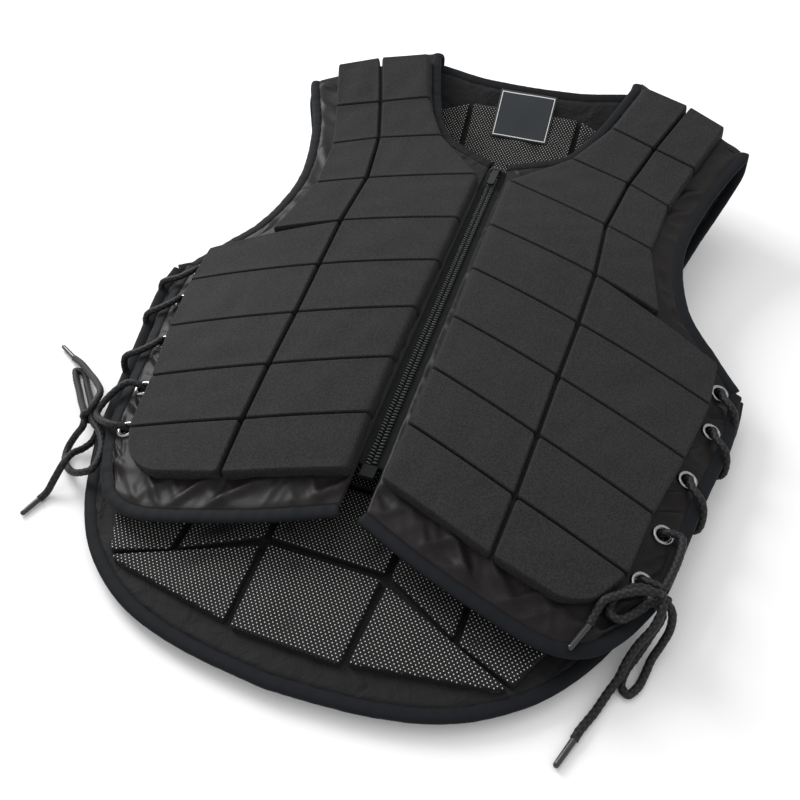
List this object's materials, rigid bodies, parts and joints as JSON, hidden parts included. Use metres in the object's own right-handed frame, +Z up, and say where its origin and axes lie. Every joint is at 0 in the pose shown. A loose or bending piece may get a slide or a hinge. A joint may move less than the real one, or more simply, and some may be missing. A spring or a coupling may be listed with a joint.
{
  "type": "equestrian body protector",
  "caption": "Padded riding vest lying on its back, with segmented foam panels, a front zip, laced sides tied in bows, bound edges and a drop tail with a mesh lining.",
  "frame": {"origin": "under the middle of the vest without its loose lace ends, on the surface it lies on", "axes": "+Z up from the back to the fronts, +Y towards the neck, +X towards the wearer's left"},
  "size_m": [0.5403, 0.6346, 0.1089],
  "materials": {
    "pad_knit": "matt stretch knit over foam",
    "margin_satin": "satin weave, gathered",
    "binding": "folded woven tape, stitched",
    "lining_mesh": "open mesh over foam",
    "zip_tape": "woven zip tape",
    "zip_teeth": "moulded, semi matt",
    "zip_metal": "dark enamel",
    "eyelet_metal": "nickel plated",
    "lace_cord": "braided",
    "aglet_plastic": "glossy shrink tube",
    "label_cloth": "woven, bare"
  },
  "bodies": {
    "vest": {"right_front_cover": "margin_satin", "left_front_cover": "margin_satin", "right_front_pads_inner": "pad_knit", "right_front_pads_outer": "pad_knit", "left_front_pads_inner": "pad_knit", "left_front_pads_outer": "pad_knit", "right_shoulder": "margin_satin", "left_shoulder": "margin_satin", "back_panel": "lining_mesh", "lining_pads_middle": "lining_mesh", "right_lining_pads": "lining_mesh", "left_lining_pads": "lining_mesh", "back_pads_middle": "pad_knit", "right_back_pads": "pad_knit", "left_back_pads": "pad_knit", "right_armhole_tape": "binding", "left_armhole_tape": "binding", "right_front_tape": "binding", "left_front_tape": "binding", "back_tape": "binding", "neck_tape": "binding", "label": "label_cloth", "right_zip_tape": "zip_tape", "left_zip_tape": "zip_tape", "zip_chain": "zip_teeth", "zip_bottom_box": "zip_teeth", "zip_slider": "zip_metal", "right_front_eyelet_1": "eyelet_metal", "right_front_eyelet_2": "eyelet_metal", "right_front_eyelet_3": "eyelet_metal", "right_front_eyelet_4": "eyelet_metal", "right_front_eyelet_5": "eyelet_metal", "left_front_eyelet_1": "eyelet_metal", "left_front_eyelet_2": "eyelet_metal", "left_front_eyelet_3": "eyelet_metal", "left_front_eyelet_4": "eyelet_metal", "left_front_eyelet_5": "eyelet_metal", "right_back_eyelet_1": "eyelet_metal", "right_back_eyelet_2": "eyelet_metal", "right_back_eyelet_3": "eyelet_metal", "right_back_eyelet_4": "eyelet_metal", "right_back_eyelet_5": "eyelet_metal", "left_back_eyelet_1": "eyelet_metal", "left_back_eyelet_2": "eyelet_metal", "left_back_eyelet_3": "eyelet_metal", "left_back_eyelet_4": "eyelet_metal", "left_back_eyelet_5": "eyelet_metal", "right_lacing": "lace_cord", "left_lacing": "lace_cord", "right_bow": "lace_cord", "left_bow": "lace_cord", "right_lace_end_1": "lace_cord", "right_lace_end_2": "lace_cord", "left_lace_end_1": "lace_cord", "left_lace_end_2": "lace_cord", "right_aglet_1": "aglet_plastic", "right_aglet_2": "aglet_plastic", "left_aglet_1": "aglet_plastic", "left_aglet_2": "aglet_plastic"},
    "pull": {"zip_pull": "zip_metal"}
  },
  "joints": [
    {"name": "pull_swing", "type": "hinge", "parent": "vest", "child": "pull", "pos_m": [0.0015, 0.16646, 0.07286], "axis": [-1, 0, 0], "range_deg": [0, 150]}
  ]
}
